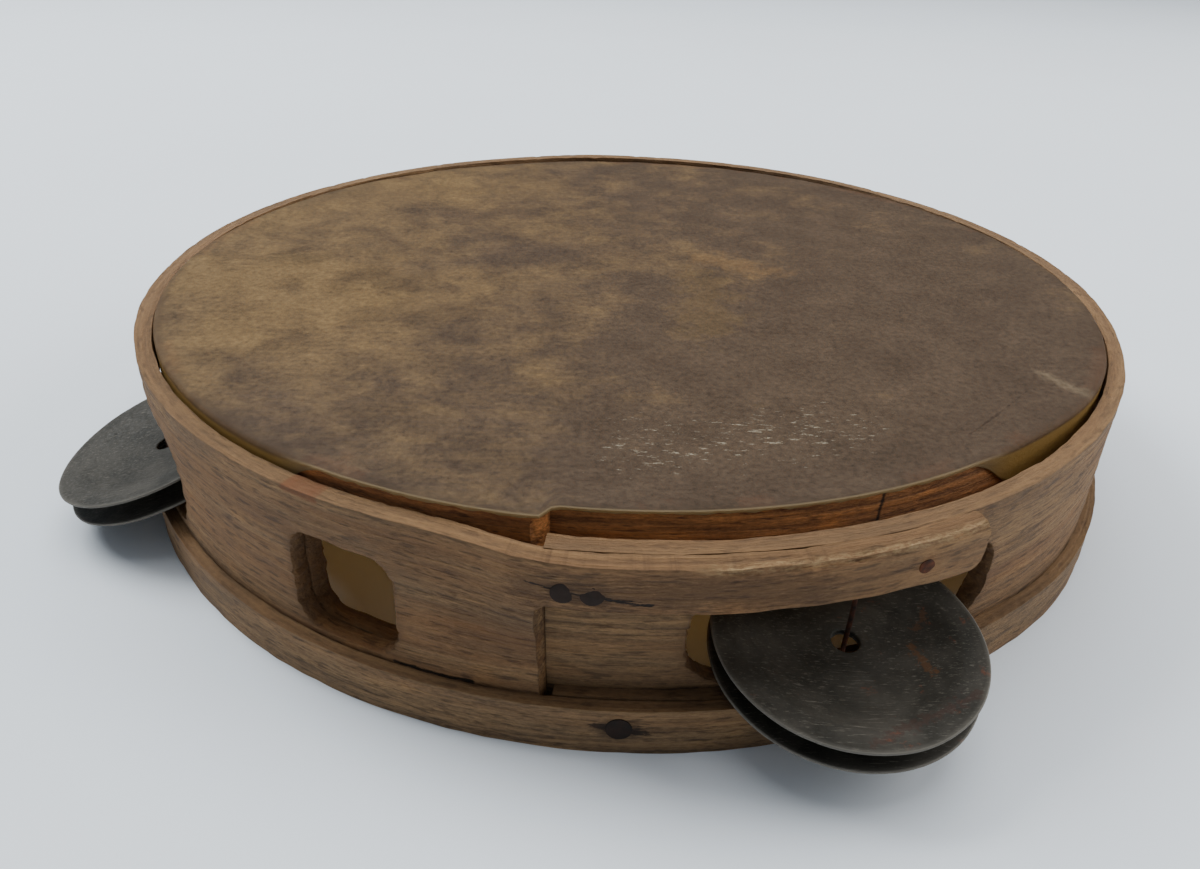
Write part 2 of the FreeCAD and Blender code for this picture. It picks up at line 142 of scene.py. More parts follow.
class TambourineSkin(bpy.types.PropertyGroup):
    """Sizes of the skin."""

    thickness: length("Thickness", "Thickness of the skin", 0.45 * MM)
    side: length("Side", "How far the skin comes down the head hoop", 7 * MM)
    bare_start: turn("Bare start", "Where the skin's side ends, left of the lap", -121)
    bare_end: turn("Bare end", "Where the skin's side begins, right of the lap", -54)
    fold: length("Fold", "Radius of the fold at the skin's edge", 0.7 * MM)
    steps: IntProperty(name="Steps", description="Points round the skin", default=468, min=64)


class TambourineJingles(bpy.types.PropertyGroup):
    """Sizes of the jingles, wires and nails."""

    radius: length("Radius", "Outer radius of a jingle", 22.36 * MM)
    hole: length("Hole", "Radius of a jingle's hole", 2.3 * MM)
    sheet: length("Sheet", "Thickness of a jingle's tin", 0.62 * MM)
    depth: length("Depth", "Depth of a jingle's dish", 2.0 * MM)
    floor: length("Floor", "Radius of the dish's floor", 7.5 * MM)
    band: length("Band", "Width of the band round the edge", 4.2 * MM)
    band_rise: length("Band rise", "How far the band still rises", 0.3 * MM)
    steps: IntProperty(name="Steps", description="Points round a jingle", default=128, min=24)
    shank: length("Shank", "Radius of a nail's shank", 0.8 * MM)


class TambourineFinishes(bpy.types.PropertyGroup):
    """Colours of the tambourine."""

    wood_light: colour("Wood light", "Bleached beech", "#B08F69")
    wood_dark: colour("Wood dark", "Weathered beech", "#5F4934")
    wood_warm: colour("Wood warm", "Handled beech", "#8F653F")
    wood_grey: colour("Wood grey", "Dirt rubbed into beech", "#584B3E")
    wood_fleck: colour("Wood fleck", "Rays and pores of beech", "#332116")
    wood_end: colour("Wood end", "Cut edge of a strip", "#7B5C3C")
    char: colour("Char", "Burnt wood", "#66492F")
    skin_tan: colour("Skin tan", "Clean hide", "#826A47")
    skin_brown: colour("Skin brown", "Soiled hide", "#5B4C3D")
    skin_side: colour("Skin side", "Hide where it was never touched", "#AE8C4B")
    tin: colour("Tin", "Patinated tin plate", "#433F38")
    tin_dark: colour("Tin dark", "Blackened tin plate", "#2A2822")
    rust: colour("Rust", "Rust on tin and iron", "#6E3B22")
    iron: colour("Iron", "Nail iron", "#241E1A")
    floor: colour("Floor", "Pale floor", "#EAF0F6")


def sizes(name):
    """One of the scene's groups of values."""
    return getattr(bpy.context.scene, f"tambourine_{name}")


# ---------------------------------------------------------------- points and meshes

def random_field(points, cell, seed):
    """Smooth random values from -1 to 1 at the points; cell is the size of one swelling per axis."""
    place = np.asarray(points, float) / np.asarray(cell, float)
    whole = np.floor(place).astype(np.int64)
    part = place - whole
    part = part * part * (3 - 2 * part)
    table = np.random.default_rng(seed).uniform(-1, 1, 4096)
    total = np.zeros(len(place))
    for corner in range(8):
        step = np.array([corner & 1, corner >> 1 & 1, corner >> 2 & 1])
        index = whole + step
        key = (index[:, 0] * 73856093 ^ index[:, 1] * 19349663 ^ index[:, 2] * 83492791) & 4095
        weight = np.prod(np.where(step == 1, part, 1 - part), axis=1)
        total += weight * table[key]
    return total


def smooth_step(low, high, value):
    """0 below low, 1 above high and smooth between."""
    part = np.clip((value - low) / (high - low), 0, 1)
    return part * part * (3 - 2 * part)


def sway(start, end, angle):
    """0 before start, 1 after end, and between them the S of two arcs."""
    part = np.clip((angle - start) / (end - start), 0, 1)
    return np.where(part < 0.5, 2 * part ** 2, 1 - 2 * (1 - part) ** 2)


def points_of(mesh):
    """The mesh's vertices as an array."""
    flat = np.empty(len(mesh.vertices) * 3)
    mesh.vertices.foreach_get("co", flat)
    return flat.reshape(-1, 3)


def polar(points):
    """The points' angles round Z and their distances from it."""
    return np.arctan2(points[:, 1], points[:, 0]), np.hypot(points[:, 0], points[:, 1])


def set_points(mesh, points):
    """Moves the mesh's vertices."""
    mesh.vertices.foreach_set("co", np.asarray(points, float).ravel())
    mesh.update()


def mark(mesh, name, values):
    """Keeps one number or vector for each vertex, for the material to read."""
    values = np.asarray(values, float)
    if values.ndim == 1:
        mesh.attributes.new(name, "FLOAT", "POINT").data.foreach_set("value", values)
    else:
        mesh.attributes.new(name, "FLOAT_VECTOR", "POINT").data.foreach_set("vector", values.ravel())


def object_from(name, builder):
    """An object of that name with the bmesh's shape; the bmesh is freed."""
    mesh = bpy.data.meshes.new(name)
    builder.to_mesh(mesh)
    builder.free()
    made = bpy.data.objects.new(name, mesh)
    bpy.context.scene.collection.objects.link(made)
    return made


def finish_piece(piece, material, slot, body, *nodes):
    """Gives a piece its material and the body it rides on, and hides the nodes it stands for; the slot is
    not used.
    """
    piece.data.materials.clear()
    piece.data.materials.append(material)
    piece.data.polygons.foreach_set("use_smooth", [True] * len(piece.data.polygons))
    piece.data.set_sharp_from_angle(angle=SHARP)
    piece.data.update()
    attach(piece, body)
    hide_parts(*nodes)
    return piece


# ---------------------------------------------------------------- strips, made flat and bent

def rounded_block(low, high, corner, segments=8):
    """A block between two corners, given as X, Y and Z, with rounded corners as seen along Y."""
    builder = bmesh.new()
    middle = (Vector(low) + Vector(high)) / 2
    span = Vector(high) - Vector(low)
    bmesh.ops.create_cube(builder, size=1.0,
                          matrix=Matrix.Translation(middle) @ Matrix.Diagonal((*span, 1)))
    if corner:
        across = [edge for edge in builder.edges
                  if abs((edge.verts[0].co - edge.verts[1].co).y) > span.y / 2]
        bmesh.ops.bevel(builder, geom=across, offset=corner, offset_type="OFFSET", affect="EDGES",
                        segments=segments, profile=0.5, material=-1)
    return builder


def flat_strip(name, start, end, height, wall, cell, cutters):
    """A strip laid flat: X along it, Y through its wall and Z up, less the cutters, in small cells."""
    strip = object_from(name, rounded_block((start, 0, 0), (end, wall, height), 0))
    helpers = []
    for number, builder in enumerate(cutters):
        cutter = object_from(f"{name}_cutter_{number}", builder)
        helpers.append(cutter)
        cut = strip.modifiers.new(f"cut_{number}", "BOOLEAN")
        cut.operation = "DIFFERENCE"
        cut.solver = "EXACT"
        cut.object = cutter
    cells = strip.modifiers.new("cells", "REMESH")
    cells.mode = "VOXEL"
    cells.voxel_size = cell
    graph = bpy.context.evaluated_depsgraph_get()
    mesh = bpy.data.meshes.new_from_object(strip.evaluated_get(graph))
    strip.modifiers.clear()
    strip.data = mesh
    mesh.name = name
    for helper in helpers:
        bpy.data.objects.remove(helper)
    return strip


def opening_distance(flat, middle, half_length, bottom, height, corner):
    """How far each flat point is outside a rounded opening; it is negative inside."""
    reach = np.stack([np.abs(flat[:, 0] - middle) - half_length + corner,
                      np.abs(flat[:, 2] - bottom - height / 2) - height / 2 + corner], axis=1)
    outside = np.linalg.norm(np.maximum(reach, 0), axis=1)
    return outside + np.minimum(reach.max(axis=1), 0) - corner


def squared(flat, wall, height, cell):
    """A flat strip's points with its long edges squared up again after the cells rounded them."""
    near = 0.62 * cell  # the cells round an edge over a little more than half their size
    crisp = flat.copy()
    for axis, size in ((1, wall), (2, height)):
        crisp[flat[:, axis] < near, axis] = 0.0
        crisp[flat[:, axis] > size - near, axis] = size
    return crisp


def weather(flat, wall, height, seed, amount=1.0):
    """A flat strip's points with the swellings and fibres of old wood; its foot stays flat."""
    fibre_depth, swell_depth, pit_depth, edge_wave, nick_depth = 0.1, 0.12, 0.09, 0.16, 0.35  # in mm
    worn = flat.copy()
    outward = 2 * flat[:, 1] / wall - 1
    fibres = random_field(flat, (9 * MM, 1, 0.9 * MM), seed)
    swell = random_field(flat, (45 * MM, 1, 16 * MM), seed + 1)
    pitted = random_field(flat, (3.2 * MM, 1, 1.5 * MM), seed + 5)
    relief = fibre_depth * fibres + swell_depth * swell + pit_depth * pitted
    worn[:, 1] += outward * amount * relief * MM
    lift = smooth_step(0.25, 1.0, flat[:, 2] / height)
    edge = random_field(flat * (1, 0, 0), (26 * MM, 1, 1), seed + 2)
    nick = np.maximum(random_field(flat * (1, 1, 0), (2.4 * MM, 2 * MM, 1), seed + 3) - 0.35, 0)
    near_top = smooth_step(height - 1.6 * MM, height, flat[:, 2])
    worn[:, 2] += amount * (edge_wave * edge * lift - nick_depth * nick * near_top) * MM
    return worn


def worn_strip(name, start, end, height, wall, cell, cutters, seed, amount=1.0):
    """A flat strip, its points squared up, and the same points worn."""
    strip = flat_strip(name, start, end, height, wall, cell, cutters)
    flat = squared(points_of(strip.data), wall, height, cell)
    return strip, flat, weather(flat, wall, height, seed, amount)


def wind(strip, flat, worn, middle_radius, inner_radius):
    """Bends a flat strip round; inner_radius gives its inner face from angle and height."""
    angle = worn[:, 0] / middle_radius
    radius = inner_radius(angle, worn[:, 2]) + worn[:, 1]
    set_points(strip.data, np.stack([radius * np.cos(angle), radius * np.sin(angle), worn[:, 2]], axis=1))
    strip.data.flip_normals()
    mark(strip.data, "strip", flat / MM)
    for name in ("char", "fuzz"):
        if name not in strip.data.attributes:
            mark(strip.data, name, np.zeros(len(flat)))


def edge_marks(mesh, flat, wall, height, seed):
    """Marks the cut upper edge of a strip and its worn arrises."""
    top = smooth_step(height - 0.55 * MM, height - 0.2 * MM, flat[:, 2])
    gap = np.minimum(height - flat[:, 2], np.minimum(flat[:, 1], wall - flat[:, 1]) + 0.4 * MM)
    uneven = random_field(flat, (6 * MM, 1, 2 * MM), seed)
    mark(mesh, "cut_edge", top)
    mark(mesh, "arris", 1 - smooth_step(0.2 * MM, (1.3 + uneven) * MM, gap))


def opening_cutter(wall, opening):
    """The block that cuts an opening: its middle, half length, bottom, height and corner."""
    place, half, bottom, tall, corner = opening
    return rounded_block((place - half, -CUT_PAST, bottom),
                         (place + half, wall + CUT_PAST, bottom + tall), corner)


def shell_openings(shell, middle_radius):
    """Middle, half length, bottom, height and corner of every opening in the shell's flat strip."""
    def flat_half(across):
        return math.asin(across / 2 / shell.radius) * middle_radius
    places = []
    for side in SIDES:
        low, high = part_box(f"{side}_jingle_wire")
        angle = math.atan2((low.y + high.y) / 2, (low.x + high.x) / 2)
        if angle < shell.start:
            angle += math.tau
        places.append((angle * middle_radius, flat_half(shell.slot_length), shell.slot_bottom,
                       shell.slot_height, shell.slot_corner))
    places.append((shell.thumb_place * middle_radius, flat_half(shell.thumb_width),
                   shell.slot_bottom, shell.slot_height, shell.thumb_corner))
    return places


def build_shell_strip(material):
    """The shell's strip with its slots, thumb hole and tongue."""
    shell = sizes("shell")
    inner = shell.radius - shell.wall
    middle_radius = shell.radius - shell.wall / 2
    openings = shell_openings(shell, middle_radius)
    under_tongue = shell.height - shell.tongue_height
    joint = shell.joint * middle_radius
    tip = shell.tongue_end * middle_radius
    cutters = [opening_cutter(shell.wall, opening) for opening in openings]
    cutters.append(rounded_block((joint, -CUT_PAST, -CUT_PAST),
                                 (tip + CUT_PAST, shell.wall + CUT_PAST, under_tongue), 0))
    strip, flat, worn = worn_strip("shell_strip", shell.start * middle_radius, tip, shell.height,
                                   shell.wall, shell.cell, cutters, 11)
    mark_char(strip.data, flat, openings, 21)
    tear_edges(worn, flat, openings, 31)
    edge_marks(strip.data, flat, shell.wall, shell.height, 41)
    shape_tongue(worn, flat, shell, joint, tip, under_tongue)
    fuzz = (smooth_step(math.radians(273), math.radians(277), flat[:, 0] / middle_radius)
            * smooth_step(shell.height - 1.8 * MM, shell.height - 0.6 * MM, flat[:, 2])
            * smooth_step(shell.wall - 1.6 * MM, shell.wall - 0.6 * MM, flat[:, 1]))
    mark(strip.data, "fuzz", fuzz)

    def inner_radius(angle, up):
        lean = shell.tuck * np.clip(1 - up / shell.height, 0, 1)
        tucked = lean * (1 - sway(shell.tuck_hold, shell.tuck_end, angle))
        step = shell.wall + shell.lap_gap
        rise = smooth_step(13 * MM, under_tongue, up)
        return inner - tucked + step * rise * sway(shell.tongue_root, shell.tongue_out, angle)

    wind(strip, flat, worn, middle_radius, inner_radius)
    return finish_piece(strip, material, "shell_wood", "frame", "shell_hoop")


def mark_char(mesh, flat, openings, seed):
    """Marks where the openings' edges were burnt as they were made."""
    char = np.zeros(len(flat))
    blotch = random_field(flat, (3.5 * MM, 1, 2.2 * MM), seed)
    for place, half, bottom, tall, corner in openings:
        gap = opening_distance(flat, place, half, bottom, tall, corner)
        ends = smooth_step(0.55 * half, 0.95 * half, np.abs(flat[:, 0] - place))
        reach = (0.45 + 0.9 * ends * np.maximum(blotch + 0.35, 0)) * MM
        char = np.maximum(char, np.exp(-np.maximum(gap, 0) / reach) * (0.25 + 0.6 * ends))
    mark(mesh, "char", char)


def tear_edges(worn, flat, openings, seed):
    """Roughens the openings' edges, most at their ends, where the fibres broke."""
    for place, half, bottom, tall, corner in openings:
        gap = opening_distance(flat, place, half, bottom, tall, corner)
        near = 1 - smooth_step(0.2 * MM, 1.8 * MM, gap)
        ends = smooth_step(0.5 * half, 0.9 * half, np.abs(flat[:, 0] - place))
        tear = random_field(flat, (4 * MM, 2.2 * MM, 0.9 * MM), seed)
        worn[:, 0] += near * ends * tear * 0.45 * MM
        worn[:, 2] += near * random_field(flat, (2.5 * MM, 2 * MM, 2 * MM), seed + 1) * 0.22 * MM


def shape_tongue(worn, flat, shell, joint, tip, under_tongue):
    """Rounds the tongue's tip, roughens its edges and bevels the end of the full height."""
    on_tongue = (flat[:, 0] > joint) & (flat[:, 2] > under_tongue - MM)
    drop = np.clip(shell.tongue_corner - (flat[:, 2] - under_tongue), 0, shell.tongue_corner)
    cut_back = shell.tongue_corner - np.sqrt(shell.tongue_corner ** 2 - drop ** 2)
    ragged = random_field(flat, (1, 1.5 * MM, 2.5 * MM), 51) * 0.25 * MM
    limit = tip - cut_back - 0.3 * MM + ragged
    worn[on_tongue, 0] = np.minimum(worn[on_tongue, 0], limit[on_tongue])
    at_end = (flat[:, 0] > joint - 2 * MM) & (flat[:, 2] < under_tongue - 0.3 * MM)
    slant = joint - 1.1 * MM * flat[:, 1] / shell.wall + ragged * 0.8
    worn[at_end, 0] = np.minimum(worn[at_end, 0], slant[at_end])
    lower = on_tongue & (flat[:, 2] < under_tongue + 1.2 * MM)
    splinter = random_field(flat * (1, 1, 0), (5 * MM, 1.5 * MM, 1), 52) * 0.25 * MM
    slope = (flat[:, 0] - joint) / (tip - joint)
    worn[on_tongue, 2] += (0.5 - 1.0 * slope[on_tongue]) * MM * (
        1 - smooth_step(under_tongue, under_tongue + 4 * MM, flat[on_tongue, 2]))
    worn[lower, 2] += splinter[lower]
    upper = smooth_step(shell.height - 2.2 * MM, shell.height, flat[:, 2])
    outer = smooth_step(0.3, 1.0, flat[:, 1] / shell.wall)
    run = smooth_step(joint + 14 * MM, joint + 26 * MM, flat[:, 0])
    rough = (0.7 + 0.35 * random_field(flat, (2.6 * MM, 1.4 * MM, 1.4 * MM), 53)
             + 0.3 * random_field(flat, (1.5 * MM, 1.5 * MM, 1.5 * MM), 54))
    worn[:, 2] -= upper * outer * run * rough * 1.0 * MM
    worn[:, 1] -= upper * outer * run * rough * 0.9 * MM


def build_shell_tail(material):
    """The hidden tail of the shell's strip, seen through the thumb hole and from below."""
    shell = sizes("shell")
    inner = shell.radius - 2 * shell.wall - shell.lap_gap
    middle_radius = inner + shell.wall / 2
    half = math.asin(shell.thumb_width / 2 / shell.radius) * middle_radius
    opening = (shell.thumb_place * middle_radius, half, shell.slot_bottom, shell.slot_height,
               shell.thumb_corner)
    end = shell.joint + math.radians(2.5)
    strip, flat, worn = worn_strip("shell_tail", shell.tail_start * middle_radius, end * middle_radius,
                                   shell.tail_height, shell.wall, shell.cell,
                                   [opening_cutter(shell.wall, opening)], 61, 0.5)
    mark_char(strip.data, flat, [opening], 62)
    tear_edges(worn, flat, [opening], 63)
    edge_marks(strip.data, flat, shell.wall, shell.tail_height, 64)
    wind(strip, flat, worn, middle_radius, lambda angle, up: inner)
    return finish_piece(strip, material, "shell_wood", "frame", "shell_hoop")


def build_base_hoop(material):
    """The base hoop, which starts one layer in and laps over its own start."""
    hoops = sizes("hoops")
    shell = sizes("shell")
    inner = hoops.base_radius - hoops.base_wall
    middle_radius = hoops.base_radius - hoops.base_wall / 2
    strip, flat, worn = worn_strip("base_hoop_strip", hoops.base_start * middle_radius,
                                   hoops.base_end * middle_radius, hoops.base_height,
                                   hoops.base_wall, hoops.cell, [], 71, 0.8)
    edge_marks(strip.data, flat, hoops.base_wall, hoops.base_height, 72)

    def inner_radius(angle, up):
        return inner - hoops.base_tuck * (1 - sway(shell.tuck_hold, shell.tuck_end, angle))

    wind(strip, flat, worn, middle_radius, inner_radius)
    return finish_piece(strip, material, "base_wood", "frame", "base_hoop")


def cant(points):
    """Points of the level head hoop, tilted and lifted into place."""
    hoops = sizes("hoops")
    tilt = -hoops.head_cant
    placed = points.copy()
    placed[:, 1] = points[:, 1] * math.cos(tilt) - points[:, 2] * math.sin(tilt)
    placed[:, 2] = points[:, 1] * math.sin(tilt) + points[:, 2] * math.cos(tilt) + hoops.head_top
    return placed


def build_head_hoop(material):
    """The head hoop, with its worn end at the lap and a small notch beside it."""
    hoops = sizes("hoops")
    inner = hoops.head_radius - hoops.head_wall
    middle_radius = hoops.head_radius - hoops.head_wall / 2
    notch = math.radians(-93.7) * middle_radius
    cutter = rounded_block(
        (notch - 0.7 * MM, hoops.head_wall - 1.4 * MM, hoops.head_height - 2.6 * MM),
        (notch + 0.7 * MM, hoops.head_wall + CUT_PAST, hoops.head_height + CUT_PAST), 0)
    end = hoops.head_end * middle_radius
    strip, flat, worn = worn_strip("head_hoop_strip", hoops.head_start * middle_radius, end,
                                   hoops.head_height, hoops.head_wall, hoops.cell, [cutter], 81, 0.8)
    outward = flat[:, 1] / hoops.head_wall
    ragged = random_field(flat, (1, 1.2 * MM, 1.6 * MM), 82) * 0.4 * MM
    slant = end - 2.4 * MM * outward ** 2 + ragged
    near_end = flat[:, 0] > end - 5 * MM
    worn[near_end, 0] = np.minimum(worn[near_end, 0], slant[near_end])
    edge_marks(strip.data, flat, hoops.head_wall, hoops.head_height, 83)

    def inner_radius(angle, up):
        return inner - hoops.head_layer * (1 - sway(hoops.head_hold, hoops.head_out, angle))

    wind(strip, flat, worn, middle_radius, inner_radius)
    level = points_of(strip.data)
    level[:, 2] -= hoops.head_height
    set_points(strip.data, cant(level))
    return finish_piece(strip, material, "head_wood", "frame", "head_hoop")


# ---------------------------------------------------------------- skin

def head_outline(angle):
    """The head hoop's outer radius, one layer in from the lap to where it comes out."""
    hoops = sizes("hoops")
    level = np.where(angle < hoops.head_start, angle + math.tau, angle)
    lap = hoops.head_end - math.tau
    out = sway(hoops.head_hold, hoops.head_out, level)
    before_lap = 1 - sway(lap - math.radians(0.9), lap + math.radians(0.5), level)
    return hoops.head_radius - hoops.head_layer * (1 - np.maximum(out, np.where(level < 0, before_lap, 0)))


def build_skin(material):
    """The skin: a stretched disc folded over the head hoop, torn short at the front."""
    skin = sizes("skin")
    hoops = sizes("hoops")
    edge = hoops.head_radius
    inner_rings = 84
    fold_rings = 6
    side_rings = 12
    profile = [(edge * (part / inner_rings) ** 0.85 - skin.fold * (part == inner_rings), 0)
               for part in range(inner_rings + 1)]
    for part in range(1, fold_rings + 1):
        bend = math.pi / 2 * part / fold_rings
        profile.append((edge - skin.fold + skin.fold * math.sin(bend), skin.fold * (math.cos(bend) - 1)))
    for part in range(1, side_rings + 1):
        profile.append((edge, -skin.fold - (skin.side - skin.fold) * part / side_rings))
    piece = lathe("hide_head", profile, skin.steps, False)
    flat = points_of(piece.data)
    angle, rho = polar(flat)
    mark(piece.data, "skin_place", flat / MM)
    bare = bare_front(angle, skin)
    down = -np.minimum(flat[:, 2], 0)
    ragged = 0.35 + 0.25 * random_field(np.stack([angle * edge, rho, rho], 1), (1.1 * MM, 1, 1), 91)
    kept = 1 - bare * (1 - ragged * MM / skin.side)
    outline = head_outline(angle)
    reach = rho / edge
    near = smooth_step(0.86, 1.0, reach)
    radius = rho * (1 + near * (outline / edge - 1)) + 0.1 * MM * smooth_step(0.9, 1.0, reach)
    height = -down * kept
    swell = random_field(flat * (1, 1, 0), (38 * MM, 38 * MM, 1), 92)
    pucker = random_field(flat * (1, 1, 0), (9 * MM, 9 * MM, 1), 93)
    ripple = random_field(np.stack([angle * edge, rho * 0.15, rho * 0], 1), (7 * MM, 4 * MM, 1), 94)
    sag = 0.25 * MM * (1 - reach ** 2)
    height += (0.16 * swell + 0.05 * pucker) * MM * (1 - near) - sag
    height += 0.1 * MM * ripple * near * (down < 0.1 * MM)
    height += skin.thickness / 2 + 0.05 * MM
    level = np.stack([radius * np.cos(angle), radius * np.sin(angle), height], axis=1)
    set_points(piece.data, cant(level))
    mark(piece.data, "side", smooth_step(0.5 * MM, 1.4 * MM, down))
    mark(piece.data, "edge", smooth_step(edge - 2.2 * MM, edge - 0.3 * MM, rho))
    mark(piece.data, "torn", bare * smooth_step(0.2 * MM, 0.5 * MM, down))
    wall = piece.modifiers.new("thickness", "SOLIDIFY")
    wall.thickness = skin.thickness
    wall.offset = 0
    finish_piece(piece, material, "hide", "frame", "drum_skin")
    return piece


def bare_front(angle, skin):
    """1 where the skin's side is torn off at the front, with slanting ends."""
    start = smooth_step(skin.bare_start - math.radians(3), skin.bare_start + math.radians(3), angle)
    end = smooth_step(skin.bare_end - math.radians(3.5), skin.bare_end + math.radians(3.5), angle)
    return start * (1 - end)


# ---------------------------------------------------------------- jingles, wires and nails

def lathe(name, profile, steps, closed):
    """A piece turned about Z from a profile of (radius, height); a closed profile makes a ring."""
    builder = bmesh.new()
    corners = [builder.verts.new((radius, 0, up)) for radius, up in profile]
    pairs = list(zip(corners, corners[1:]))
    if closed:
        pairs.append((corners[-1], corners[0]))
    edges = [builder.edges.new(pair) for pair in pairs]
    bmesh.ops.spin(builder, geom=corners + edges, cent=(0, 0, 0), axis=(0, 0, 1), angle=math.tau,
                   steps=steps, use_merge=True, use_duplicate=False)
    bmesh.ops.remove_doubles(builder, verts=builder.verts, dist=0.005 * MM)
    bmesh.ops.recalc_face_normals(builder, faces=builder.faces)
    return object_from(name, builder)


def dish_height(radius, jingles):
    """Height of the dish's underside at that radius: floor, hollow side, then the band."""
    ridge = jingles.radius - jingles.band
    rise = jingles.depth - jingles.band_rise
    side = np.clip((radius - jingles.floor) / (ridge - jingles.floor), 0, 1)
    curve = side ** 1.6
    band = np.clip((radius - ridge) / jingles.band, 0, 1)
    return rise * curve + jingles.band_rise * band


def disc_frame(node):
    """A turned node's axis, upward, with the ends of the node along it and two directions across it."""
    points = points_of(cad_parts[node].data)
    middle = points.mean(axis=0)
    axis = np.linalg.svd(points - middle, full_matrices=False)[2][2]
    axis *= math.copysign(1, axis[2])
    along = (points - middle) @ axis
    across = np.array([1.0, 0.0, 0.0]) - axis * axis[0]
    across /= np.linalg.norm(across)
    return middle + axis * along.min(), middle + axis * along.max(), axis, across, np.cross(axis, across)


def build_jingle(side, level, seed, material):
    """One jingle: a stamped tin disc, a little dented and out of true."""
    jingles = sizes("jingles")
    node = f"{side}_{level}_jingle"
    low, high, axis, across, beside = disc_frame(node)
    lip = jingles.sheet / 2
    rings = np.linspace(jingles.hole + lip, jingles.radius - lip, 34)
    under = [(radius, float(dish_height(radius, jingles))) for radius in rings]
    over = [(radius, up + jingles.sheet) for radius, up in reversed(under)]
    bends = [math.pi * part / 6 - math.pi / 2 for part in range(1, 6)]
    rim = [(rings[-1] + lip * math.cos(bend), under[-1][1] + lip + lip * math.sin(bend)) for bend in bends]
    eye = [(rings[0] - lip * math.cos(bend), under[0][1] + lip - lip * math.sin(bend)) for bend in bends]
    piece = lathe(f"{node}_disc", under + rim + over + eye, jingles.steps, True)
    points = points_of(piece.data)
    angle, rho = polar(points)
    spread = smooth_step(jingles.floor, jingles.radius, rho)
    warp = 0.10 * np.sin(2 * angle + seed) + 0.05 * np.sin(3 * angle + 2.1 * seed)
    dents = 0.07 * random_field(points * (1, 1, 0), (6 * MM, 6 * MM, 1), 100 + seed)
    points[:, 2] += spread * (warp + dents) * MM
    mark(piece.data, "disc", np.stack([points[:, 0], points[:, 1], rho], axis=1) / MM)
    # The rim mark is the disc's outer edge, where the material paints a pale highlight over tin worn bright
    # there.
    mark(piece.data, "rim", smooth_step(jingles.radius - 0.4 * MM, jingles.radius - 0.15 * MM, rho))
    points[:, 2] += 0.04 * MM  # a little room between the disc and what it rests on
    # A pair faces back to back: the lower disc hangs turned over from the top of its node.
    origin, way = (high, -1) if level == "lower" else (low, 1)
    set_points(piece.data, origin + points @ np.array([across, way * beside, way * axis]))
    return finish_piece(piece, material, "jingle_tin", node, node)


def build_wire(side, seed, material):
    """An upright wire, a little bent between its two ends in the wood."""
    node = f"{side}_jingle_wire"
    low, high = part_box(node)
    radius = (high.x - low.x) / 2
    span = high.z - low.z
    rings = 28
    builder = bmesh.new()
    bmesh.ops.create_circle(builder, cap_ends=True, radius=radius * 0.94, segments=14)
    faces = list(builder.faces)
    for _ in range(rings):
        grown = bmesh.ops.extrude_face_region(builder, geom=faces)
        bmesh.ops.delete(builder, geom=faces, context="FACES_ONLY")
        corners = [item for item in grown["geom"] if isinstance(item, bmesh.types.BMVert)]
        faces = [item for item in grown["geom"] if isinstance(item, bmesh.types.BMFace)]
        bmesh.ops.translate(builder, verts=corners, vec=(0, 0, span / rings))
    bmesh.ops.holes_fill(builder, edges=[edge for edge in builder.edges if edge.is_boundary], sides=0)
    bmesh.ops.recalc_face_normals(builder, faces=builder.faces)
    piece = object_from(f"{side}_wire", builder)
    points = points_of(piece.data)
    up = points[:, 2] / span
    sway_out = np.sin(math.pi * smooth_step(0.1, 0.85, up)) * 0.32 * MM
    points[:, 0] += sway_out * math.cos(seed * 1.9)
    points[:, 1] += sway_out * math.sin(seed * 1.9)
    points += np.array([(low.x + high.x) / 2, (low.y + high.y) / 2, low.z])
    set_points(piece.data, points)
    return finish_piece(piece, material, "wire_steel", "frame", node)


def build_nail(name, node, points, seed, material):
    """A hand-cut nail: a flat uneven head on a round shank, laid along the node's own points."""
    jingles = sizes("jingles")
    middle = points.mean(axis=0)
    outward = np.array([middle[0], middle[1], 0])
    outward /= np.linalg.norm(outward)
    along = points @ outward
    face = along.max()
    near_face = points[along > face - 0.05 * MM]
    centre = (near_face.min(axis=0) + near_face.max(axis=0)) / 2
    radius = (near_face[:, 2].max() - near_face[:, 2].min()) / 2
    length_in = face - along.min()
    head = 0.6 * MM
    profile = [(0, 0)]
    for part in range(1, 9):
        share = part / 8
        profile.append((radius * share * 0.98, -0.12 * MM * share ** 3))
    profile += [(radius, -0.26 * MM), (radius * 0.99, -0.4 * MM), (radius * 0.9, -head),
                (jingles.shank, -head - 0.05 * MM), (jingles.shank, -length_in * 0.8), (0, -length_in)]
    piece = lathe(name, profile, 28, False)
    shape = points_of(piece.data)
    angle, rho = polar(shape)
    uneven = 1 - 0.02 * (1 + np.sin(2 * angle + seed)) * smooth_step(0.5, 1.0, rho / radius)
    shape[:, :2] *= uneven[:, None]
    beaten = random_field(shape + seed, (1.1 * MM, 1.1 * MM, 1.1 * MM), 120 + seed)
    shape[:, 2] -= 0.07 * MM * (1 + beaten) * (shape[:, 2] > -0.3 * MM)
    turned = Vector(outward).to_track_quat("Z", "Y").to_matrix()
    set_points(piece.data, shape @ np.array(turned).T + centre)
    mark(piece.data, "rim", smooth_step(0.6, 1.0, rho / radius))
    return finish_piece(piece, material, "nail_iron", "frame", node)


# ---------------------------------------------------------------- materials

NOISE, MIX, RANGE, MATH = "ShaderNodeTexNoise", "ShaderNodeMix", "ShaderNodeMapRange", "ShaderNodeMath"
MAPPING, ATTRIBUTE, BUMP = "ShaderNodeMapping", "ShaderNodeAttribute", "ShaderNodeBump"
VECTOR = "ShaderNodeVectorMath"


